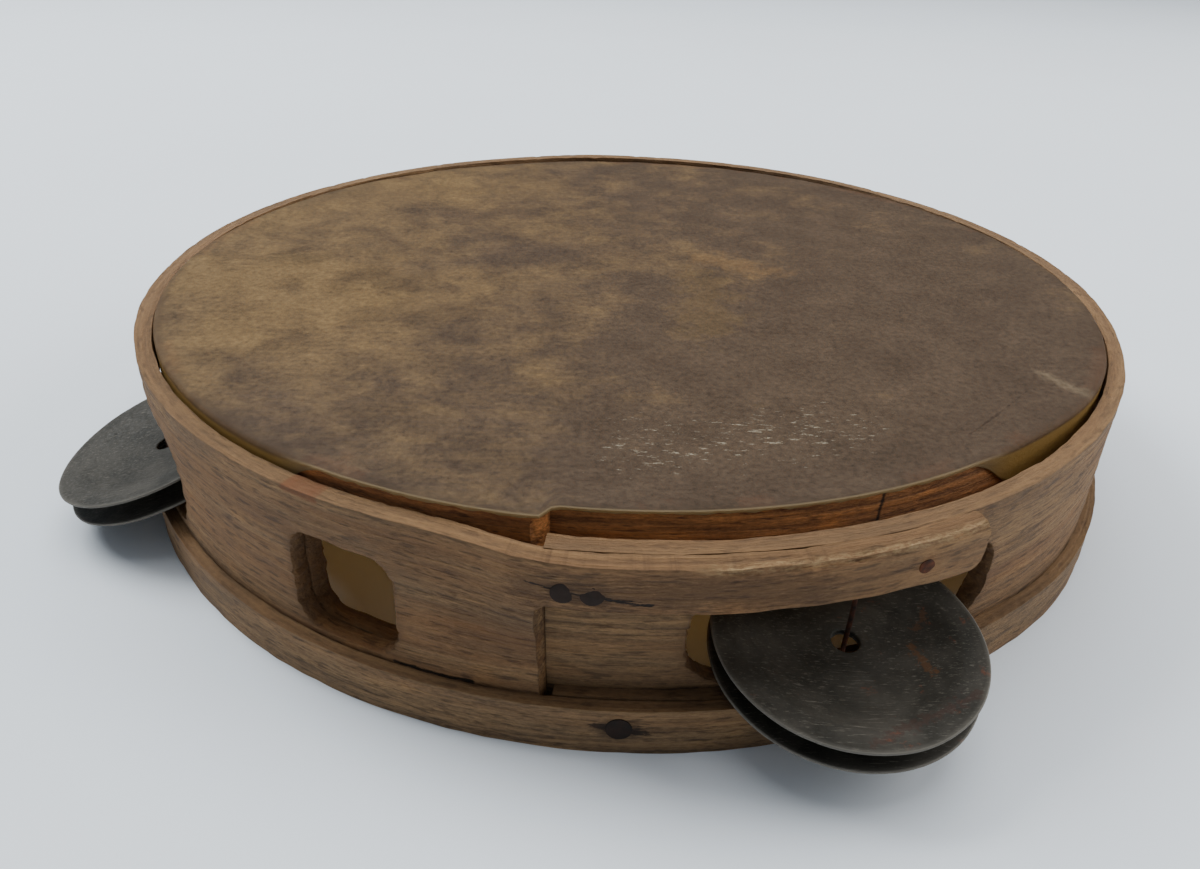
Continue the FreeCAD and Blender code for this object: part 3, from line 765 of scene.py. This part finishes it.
def feed(tree, node, inputs):
    """Links or fills a node's inputs, given by name or in their order."""
    for key, value in inputs.items() if isinstance(inputs, dict) else enumerate(inputs):
        socket = node.inputs[key]
        if isinstance(value, bpy.types.NodeSocket):
            tree.links.new(value, socket)
        elif socket.type == "RGBA":
            socket.default_value = (*value, 1.0)
        else:
            socket.default_value = value


def add_node(tree, kind, inputs=(), output=0, **settings):
    """Adds a node, sets it up, feeds its inputs and gives one of its outputs."""
    node = tree.nodes.new(kind)
    for name, value in settings.items():
        setattr(node, name, value)
    feed(tree, node, inputs)
    return node.outputs[output]


def pattern(tree, place, size, detail, roughness, distortion=0.0, turned=0.0):
    """Random swellings of a real size along each axis, in the unit that the place is given in."""
    at = add_node(tree, MAPPING, {"Vector": place, "Rotation": (0, 0, turned),
                                  "Scale": [1 / across for across in size]})
    return add_node(tree, NOISE, {"Vector": at, "Scale": 1.0, "Detail": detail, "Roughness": roughness,
                                  "Distortion": distortion})


def coats(tree, colour, layers, blend="MIX"):
    """Lays coats over a colour, each given as its mask, how far the mask covers and its colour."""
    for mask, cover, coat in layers:
        amount = add_node(tree, MATH, (mask, cover), operation="MULTIPLY")
        colour = add_node(tree, MIX, {0: amount, 6: colour, 7: coat}, 2, data_type="RGBA", blend_type=blend)
    return colour


def kept_numbers(tree, *names):
    """The numbers that a mesh keeps under these names."""
    return [add_node(tree, ATTRIBUTE, (), "Fac", attribute_name=name) for name in names]


def streak(tree, place, start, end, half_width, ragged, grain):
    """A mask that is 1 along a ragged streak between two places, in millimetres."""
    run = Vector(end) - Vector(start)
    away = add_node(tree, VECTOR, (place, start), operation="SUBTRACT")
    share = add_node(tree, VECTOR, (away, run / run.length_squared), "Value", operation="DOT_PRODUCT")
    held = add_node(tree, MATH, (share, 1.0), operation="MULTIPLY", use_clamp=True)
    step = add_node(tree, VECTOR, {0: run, "Scale": held}, operation="SCALE")
    gap = add_node(tree, VECTOR, (away, step), "Value", operation="DISTANCE")
    noise = pattern(tree, place, grain, 4.0, 0.7)
    uneven = add_node(tree, MATH, (noise, 2 * ragged, gap), operation="MULTIPLY_ADD")
    return add_node(tree, RANGE, (uneven, ragged + half_width, ragged + 0.3 * half_width))


def add_marks(tree, place, colour, marks, grain):
    """Lays ragged streaks over a colour: start, end, half width, raggedness, depth, tone."""
    return coats(tree, colour, [
        (streak(tree, place, start, end, half_width, ragged, grain), depth, linear(tone))
        for start, end, half_width, ragged, depth, tone in marks])


def new_material(name):
    """An empty node-based material, its tree and its main shader."""
    material = bpy.data.materials.new(name)
    material.use_nodes = True
    tree = material.node_tree
    tree.nodes.clear()
    shader = tree.nodes.new("ShaderNodeBsdfPrincipled")
    output = tree.nodes.new("ShaderNodeOutputMaterial")
    tree.links.new(shader.outputs[0], output.inputs[0])
    return material, tree, shader


def weathered_beech(name, tint, warmth, darkness, streaks=()):
    """Bare steam-bent beech, handled for decades: grey dirt over tan, with short dark rays."""
    finish = sizes("finishes")
    material, tree, shader = new_material(name)
    place = add_node(tree, ATTRIBUTE, (), "Vector", attribute_name="strip")
    # Sizes are in millimetres along the strip, through it and up it. Beech fibres are about
    # 0.02 mm wide, too fine to show, so bundles of them about 1 mm wide are drawn instead.
    fibres = pattern(tree, place, (28.5714, 1.1111, 1.0526), 7.0, 0.62, 0.25)
    bands = pattern(tree, place, (125, 5, 6.25), 4.0, 0.55, 0.6)
    rays = pattern(tree, place, (4.16667, 1, 0.64516), 2.0, 0.5)
    blotches = pattern(tree, place, (33.3333, 10, 14.2857), 5.0, 0.6, 0.8)
    grit = pattern(tree, place, (1.42857, 0.47619, 0.4), 6.0, 0.75)
    hairs = pattern(tree, place, (1.25, 0.71429, 0.71429), 5.0, 0.7)
    worn, cut, fuzz, char = kept_numbers(tree, "arris", "cut_edge", "fuzz", "char")
    ray_mask = add_node(tree, RANGE, (rays, 0.57, 0.68))
    figure = add_node(tree, MATH, (grit, 0.7, fibres), operation="MULTIPLY_ADD")
    colour = coats(tree, finish.wood_dark, (
        (add_node(tree, RANGE, (figure, 0.67, 1.02)), 1.0, finish.wood_light),
        (add_node(tree, RANGE, (bands, 0.42, 0.66)), warmth, finish.wood_warm),
        (add_node(tree, RANGE, (blotches, 0.44, 0.72)), darkness, finish.wood_grey),
        (ray_mask, 0.6, finish.wood_fleck)))
    colour = coats(tree, colour, ((1.0, 1.0, tint),), "MULTIPLY")
    colour = coats(tree, colour, (
        (worn, 0.35, finish.wood_grey),
        (cut, 0.4, finish.wood_end),
        (fuzz, add_node(tree, RANGE, (hairs, 0.4, 0.7)), linear("#B4966C"))))
    face = add_node(tree, VECTOR, (place, (1, 0, 1)), operation="MULTIPLY")
    colour = add_marks(tree, face, colour, streaks, (2.5, 1, 0.45455))
    uneven = add_node(tree, RANGE, (fibres, 0.3, 0.7, 1.0, 0.72))
    colour = coats(tree, colour, ((char, uneven, finish.char),))
    relief = add_node(tree, BUMP, {"Height": figure, "Strength": 1.0, "Distance": 1.0 * MM})
    pits = add_node(tree, BUMP, {"Height": ray_mask, "Strength": 0.4, "Distance": 0.15 * MM,
                                 "Normal": relief}, invert=True)
    feed(tree, shader, {"Base Color": colour, "Normal": pits, "Specular IOR Level": 0.3,
                        "Roughness": add_node(tree, RANGE, (fibres, 0.0, 1.0, 0.68, 0.9))})
    return material


def rawhide(name, stains):
    """Scraped goat hide, soiled by hands: tan where clean, brown in blotches, with pale scuffs."""
    finish = sizes("finishes")
    material, tree, shader = new_material(name)
    place = add_node(tree, ATTRIBUTE, (), "Vector", attribute_name="skin_place")
    # Sizes are in millimetres. The pores are about 0.1 mm, too fine to show, so the specks are
    # drawn about 1 mm across.
    cloud = pattern(tree, place, (45.4545,) * 3, 8.0, 0.62, 0.4)
    blotch = pattern(tree, place, (13.3333,) * 3, 10.0, 0.74, 0.3)
    speck = pattern(tree, place, (1.25,) * 3, 6.0, 0.75)
    rubs = pattern(tree, place, (11.1111, 1.1111, 1), 6.0, 0.7, turned=-0.7)
    scuffs = pattern(tree, place, (2.85714, 0.90909, 1), 5.0, 0.8, turned=0.6)
    side, edge, torn = kept_numbers(tree, "side", "edge", "torn")
    across = add_node(tree, "ShaderNodeSeparateXYZ", (place,), "X")
    to_right = add_node(tree, RANGE, (across, -100.0, 45.0, -0.24, 0.24))
    to_front = add_node(tree, RANGE, (across.node.outputs["Y"], -20.0, -95.0, 0.0, 0.2))
    soil = add_node(tree, MATH, (cloud, to_right), operation="ADD")
    for value, share in ((to_front, 1.0), (blotch, 0.9), (rubs, 0.4)):
        soil = add_node(tree, MATH, (value, share, soil), operation="MULTIPLY_ADD")
    soiled = add_node(tree, RANGE, (soil, 0.9, 1.3))
    colour = coats(tree, finish.skin_tan, ((soiled, 1.0, finish.skin_brown),))
    colour = add_marks(tree, place, colour, stains, (6.25, 6.25, 1))
    mottle = add_node(tree, RANGE, (blotch, 0.36, 0.64, 1.2, 0.82))
    fine = add_node(tree, RANGE, (speck, 0.32, 0.68, 0.55, 1.4))
    colour = coats(tree, colour, ((1.0, 1.0, mottle), (1.0, 1.0, fine)), "MULTIPLY")
    worn_at = streak(tree, place, (2, -84, 0), (34, -76, 0), 18, 8, (10, 10, 1))
    scuff_low = add_node(tree, RANGE, (worn_at, 0.0, 1.0, 0.7, 0.575))
    scuff_high = add_node(tree, MATH, (scuff_low, 0.06), operation="ADD")
    colour = coats(tree, colour, (
        (add_node(tree, RANGE, (scuffs, scuff_low, scuff_high)), 0.85, linear("#BDB39C")),
        (edge, blotch, linear("#4A3D30")),
        (side, 1.0, finish.skin_side),
        (torn, 1.0, linear("#857457"))))
    relief = add_node(tree, BUMP, {"Height": speck, "Strength": 0.6, "Distance": 0.25 * MM})
    folds = add_node(tree, BUMP, {"Height": rubs, "Strength": 0.4, "Distance": 0.5 * MM,
                                  "Normal": relief})
    feed(tree, shader, {"Base Color": colour, "Normal": folds, "Specular IOR Level": 0.25,
                        "Roughness": add_node(tree, RANGE, (blotch, 0.3, 0.7, 0.62, 0.82))})
    glow = add_node(tree, "ShaderNodeBsdfTranslucent", {"Color": linear("#D2B685")})
    both = add_node(tree, "ShaderNodeMixShader", (0.42, shader.outputs[0], glow))
    tree.links.new(both, tree.nodes["Material Output"].inputs[0])
    return material


def aged_tin(name, rust_amount, marks=()):
    """Tin-plated steel gone dull grey: brushed by wear, blackened in patches, rusty here and there."""
    finish = sizes("finishes")
    material, tree, shader = new_material(name)
    place = add_node(tree, ATTRIBUTE, (), "Vector", attribute_name="disc")
    # Sizes are in millimetres across the disc. Scratches are 0.3 mm wide, coarser than real ones.
    patches = pattern(tree, place, (11.1111,) * 3, 6.0, 0.62, 0.4)
    grain = pattern(tree, place, (0.76923,) * 3, 5.0, 0.7)
    scratches = pattern(tree, place, (4, 0.3125, 1), 4.0, 0.75, turned=0.5)
    spots = pattern(tree, place, (6.25,) * 3, 6.0, 0.72, 0.3)
    rim, = kept_numbers(tree, "rim")
    colour = coats(tree, finish.tin_dark, (
        (add_node(tree, RANGE, (patches, 0.36, 0.66)), 1.0, finish.tin),
        (add_node(tree, RANGE, (scratches, 0.56, 0.7)), 0.8, linear("#6A655B"))))
    face = add_node(tree, VECTOR, (place, (1, 1, 0)), operation="MULTIPLY")
    colour = add_marks(tree, face, colour, marks, (1.1111, 1.1111, 1))
    rusted = add_node(tree, RANGE, (spots, 0.72 - rust_amount, 0.82 - rust_amount))
    # The pale rim coat is a painted highlight along each disc's edge, over tin worn bright there.
    colour = coats(tree, colour, ((rusted, 0.85, finish.rust), (rim, 0.5, linear("#857F75"))))
    relief = add_node(tree, BUMP, {"Height": grain, "Strength": 0.25, "Distance": 0.08 * MM})
    feed(tree, shader, {"Base Color": colour, "Normal": relief, "Specular IOR Level": 0.22,
                        "Metallic": add_node(tree, RANGE, (rusted, 0.0, 1.0, 0.12, 0.035)),
                        "Roughness": add_node(tree, RANGE, (grain, 0.3, 0.7, 0.5, 0.78))})
    return material


def oxidised_iron(name, rust_amount):
    """Iron wire and nail heads, forge-black and pitted, browned by rust."""
    finish = sizes("finishes")
    material, tree, shader = new_material(name)
    place = add_node(tree, "ShaderNodeTexCoord", (), "Object")
    # Pits of about 0.7 mm and patches of rust of about 2 mm, in the object's own metres.
    pits = pattern(tree, place, (0.714286 * MM,) * 3, 5.0, 0.7)
    patches = pattern(tree, place, (2.222222 * MM,) * 3, 4.0, 0.6)
    browned = add_node(tree, RANGE, (patches, 0.32, 0.6))
    colour = coats(tree, finish.iron, ((browned, rust_amount, finish.rust),))
    relief = add_node(tree, BUMP, {"Height": pits, "Strength": 0.5, "Distance": 0.1 * MM})
    feed(tree, shader, {"Base Color": colour, "Normal": relief, "Metallic": 0.05,
                        "Specular IOR Level": 0.2,
                        "Roughness": add_node(tree, RANGE, (pits, 0.0, 1.0, 0.7, 0.95))})
    return material


# ---------------------------------------------------------------- operators

class TAMBOURINE_OT_hoops(bpy.types.Operator):
    """Build the shell, the base hoop and the head hoop."""

    bl_idname = "tambourine.hoops"
    bl_label = "Hoops"

    def execute(self, context):
        crack, soot, chip = "#160E09", "#241812", "#7E4A2C"
        shell_wood = weathered_beech("weathered_beech_shell", (1.24, 1.12, 0.93), 0.55, 0.42, (
            # The first two streaks are painted shade: they darken the tongue and the wall beside its joint.
            ((484.0, 0, 22.0), (524.0, 0, 22.0), 9.0, 16.0, 0.35, "#4B3020"),
            ((494.0, 0, 34.0), (534.0, 0, 34.0), 4.5, 9.0, 0.5, "#4B3322"),
            ((493.8, 0, 34.6), (505.5, 0, 33.0), 0.3, 0.9, 0.9, crack),
            ((505.0, 0, 32.9), (511.0, 0, 32.0), 0.5, 1.3, 0.95, crack),
            ((498.6, 0, 33.5), (503.6, 0, 33.4), 2.6, 1.8, 0.4, soot),
            # The next line, just above the base hoop's top edge, is painted shade of the gap at the foot,
            # drawn in the crack colour.
            ((470.5, 0, 9.6), (484.0, 0, 9.5), 0.55, 0.9, 0.95, crack),
            ((452.5, 0, 38.2), (458.5, 0, 38.0), 1.0, 1.2, 0.65, chip)))
        base_wood = weathered_beech("weathered_beech_base", (1.34, 1.26, 1.1), 0.3, 0.45, (
            ((517.4, 0, 5.9), (525.5, 0, 4.8), 1.1, 2.4, 0.85, soot),
            ((520.4, 0, 5.4), (522.0, 0, 5.4), 2.9, 1.8, 0.6, soot)))
        head_wood = weathered_beech("stained_beech_head", (2.4, 1.55, 0.95), 0.4, 0.2, (
            ((-123.5, 0, 3.0), (-123.1, 0, 8.2), 0.5, 0.5, 0.9, crack),))
        build_shell_strip(shell_wood)
        build_shell_tail(shell_wood)
        build_base_hoop(base_wood)
        build_head_hoop(head_wood)
        return {"FINISHED"}


class TAMBOURINE_OT_skin(bpy.types.Operator):
    """Build the skin."""

    bl_idname = "tambourine.skin"
    bl_label = "Skin"

    def execute(self, context):
        build_skin(rawhide("soiled_rawhide", (
            ((-84, 2, 0), (-76, 0, 0), 5, 7, 0.5, "#54452F"),
            ((-62, -8, 0), (-52, -14, 0), 8, 12, 0.5, "#54442F"),
            ((-50, 40, 0), (-28, 44, 0), 7, 11, 0.55, "#504236"),
            ((-30, 10, 0), (-8, 14, 0), 9, 13, 0.4, "#54463A"),
            ((18, -4, 0), (16, -34, 0), 9, 16, 0.28, "#80683E"),
            ((20, 10, 0), (34, 2, 0), 6, 12, 0.4, "#8A6B44"),
            ((80, -52, 0), (86, -62, 0), 2.2, 3.0, 0.55, "#8A7A62"),
            ((58, -78, 0), (74, -60, 0), 0.3, 0.9, 0.7, "#3A2D22"))))
        return {"FINISHED"}


class TAMBOURINE_OT_jingles(bpy.types.Operator):
    """Build the jingles and the wires that they slide on."""

    bl_idname = "tambourine.jingles"
    bl_label = "Jingles and wires"

    def execute(self, context):
        rusty = aged_tin("aged_tin_rusty", 0.1, (
            ((10.5, -1.0, 0), (12.5, -6.0, 0), 0.9, 3.4, 0.5, "#65401F"),
            ((12.0, 3.0, 0), (14.0, 5.5, 0), 0.6, 2.8, 0.45, "#5A3A22"),
            ((0.0, -20.5, 0), (18.0, -11.0, 0), 1.0, 3.0, 0.5, "#3F2920")))
        plain = aged_tin("aged_tin", 0.02)
        iron = oxidised_iron("oxidised_wire", 0.5)
        for number, side in enumerate(SIDES):
            tin = rusty if side == "front" else plain
            build_jingle(side, "lower", 2 * number + 1, tin)
            build_jingle(side, "upper", 2 * number + 2, tin)
            build_wire(side, number, iron)
        return {"FINISHED"}


class TAMBOURINE_OT_nails(bpy.types.Operator):
    """Build the nails."""

    bl_idname = "tambourine.nails"
    bl_label = "Nails"

    def execute(self, context):
        iron = oxidised_iron("oxidised_nail_iron", 0.06)
        rusty = oxidised_iron("rusty_nail_iron", 0.95)
        for number, node in enumerate(("tongue_end_nail", "base_hoop_front_nail", "base_hoop_end_nail")):
            build_nail(f"{node}_head", node, points_of(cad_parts[node].data), number,
                       rusty if node == "tongue_end_nail" else iron)
        pair = points_of(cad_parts["lap_nails"].data)
        halfway = (pair[:, 0].min() + pair[:, 0].max()) / 2
        build_nail("lap_nail_left", "lap_nails", pair[pair[:, 0] < halfway], 3, iron)
        build_nail("lap_nail_right", "lap_nails", pair[pair[:, 0] >= halfway], 4, iron)
        return {"FINISHED"}


# Name, place in metres, width of the disc in metres, power in watts and colour of each light.
LIGHTS = (("window_light", (-1.0, 0.55, 1.25), 0.9, 26.0, (0.94, 0.98, 1.0)),
          ("ceiling_light", (0.1, 0.35, 1.5), 1.6, 19.5, (0.97, 0.99, 1.0)),
          ("right_light", (1.2, 0.1, 0.7), 1.0, 12.0, (1.0, 0.99, 0.97)))
ROOM_COLOUR, ROOM_STRENGTH = (0.8, 0.88, 0.98), 0.3
CAMERA_PLACE = (-0.0055, -0.2142, 0.1210)
CAMERA_RIGHT = Vector((0.99955, 0.01538, 0.02562))
CAMERA_UP = Vector((-0.02989, 0.51453, 0.85695))
CAMERA_BACK = Vector((0.0, -0.85734, 0.51476))
CAMERA_LENS = 27.946  # millimetres, on a sensor 36 mm wide


class TAMBOURINE_OT_stage(bpy.types.Operator):
    """Lay the floor, hang the lights and set the camera."""

    bl_idname = "tambourine.stage"
    bl_label = "Stage"

    def execute(self, context):
        material, tree, shader = new_material("pale_floor_paint")
        place = add_node(tree, "ShaderNodeTexCoord", (), "Object")
        mottle = pattern(tree, place, (166.6667 * MM,) * 3, 3.0, 0.5)
        shade = add_node(tree, RANGE, (mottle, 0.0, 1.0, 0.97, 1.03))
        tone = coats(tree, sizes("finishes").floor, ((1.0, 1.0, shade),), "MULTIPLY")
        feed(tree, shader, {"Base Color": tone, "Roughness": 0.9})
        builder = bmesh.new()
        bmesh.ops.create_grid(builder, x_segments=24, y_segments=24, size=3.0)
        floor = object_from("stage_floor", builder)
        floor.data.materials.append(material)
        for name, where, size, power, warmth in LIGHTS:
            lamp = bpy.data.lights.new(name, "AREA")
            lamp.shape = "DISK"
            lamp.size = size
            lamp.energy = power
            lamp.color = warmth
            holder = bpy.data.objects.new(name, lamp)
            holder.location = where
            holder.rotation_euler = (-Vector(where)).to_track_quat("-Z", "Y").to_euler()
            context.scene.collection.objects.link(holder)
        world = bpy.data.worlds.new("soft_room")
        world.use_nodes = True
        feed(world.node_tree, world.node_tree.nodes["Background"], (ROOM_COLOUR, ROOM_STRENGTH))
        context.scene.world = world
        set_camera(context)
        return {"FINISHED"}


def set_camera(context):
    """A camera low in front of the lap, looking down across the skin."""
    lens = bpy.data.cameras.new("front_camera")
    lens.sensor_width = 36.0
    lens.lens = CAMERA_LENS
    lens.clip_start = 0.01
    camera = bpy.data.objects.new("front_camera", lens)
    turned = Matrix((CAMERA_RIGHT, CAMERA_UP, CAMERA_BACK)).transposed().to_4x4()
    camera.matrix_world = Matrix.Translation(CAMERA_PLACE) @ turned
    context.scene.collection.objects.link(camera)
    context.scene.camera = camera


class TAMBOURINE_PT_panel(bpy.types.Panel):
    """The tambourine's sizes, colours and steps."""

    bl_label = "Tambourine"
    bl_idname = "TAMBOURINE_PT_panel"
    bl_space_type = "VIEW_3D"
    bl_region_type = "UI"
    bl_category = "Tambourine"

    def draw(self, context):
        for operator in OPERATORS:
            self.layout.operator(operator.bl_idname)
        for name in GROUPS:
            box = self.layout.box()
            box.label(text=name.capitalize())
            for key in GROUPS[name].__annotations__:
                box.prop(sizes(name), key)


GROUPS = {"shell": TambourineShell, "hoops": TambourineHoops, "skin": TambourineSkin,
          "jingles": TambourineJingles, "finishes": TambourineFinishes}
OPERATORS = (TAMBOURINE_OT_stage, TAMBOURINE_OT_hoops, TAMBOURINE_OT_skin, TAMBOURINE_OT_jingles,
             TAMBOURINE_OT_nails)


def register():
    """Registers the classes and hangs the groups of values on the scene."""
    for name, group in GROUPS.items():
        bpy.utils.register_class(group)
        setattr(bpy.types.Scene, f"tambourine_{name}", PointerProperty(type=group))
    for item in (*OPERATORS, TAMBOURINE_PT_panel):
        bpy.utils.register_class(item)


def unregister():
    """Takes everything back that register added."""
    for item in (TAMBOURINE_PT_panel, *reversed(OPERATORS)):
        bpy.utils.unregister_class(item)
    for name, group in GROUPS.items():
        delattr(bpy.types.Scene, f"tambourine_{name}")
        bpy.utils.unregister_class(group)


def main():
    """Builds the stage and every piece."""
    register()
    bpy.ops.tambourine.stage()
    bpy.ops.tambourine.hoops()
    bpy.ops.tambourine.skin()
    bpy.ops.tambourine.jingles()
    bpy.ops.tambourine.nails()


if __name__ == "__main__":
    main()
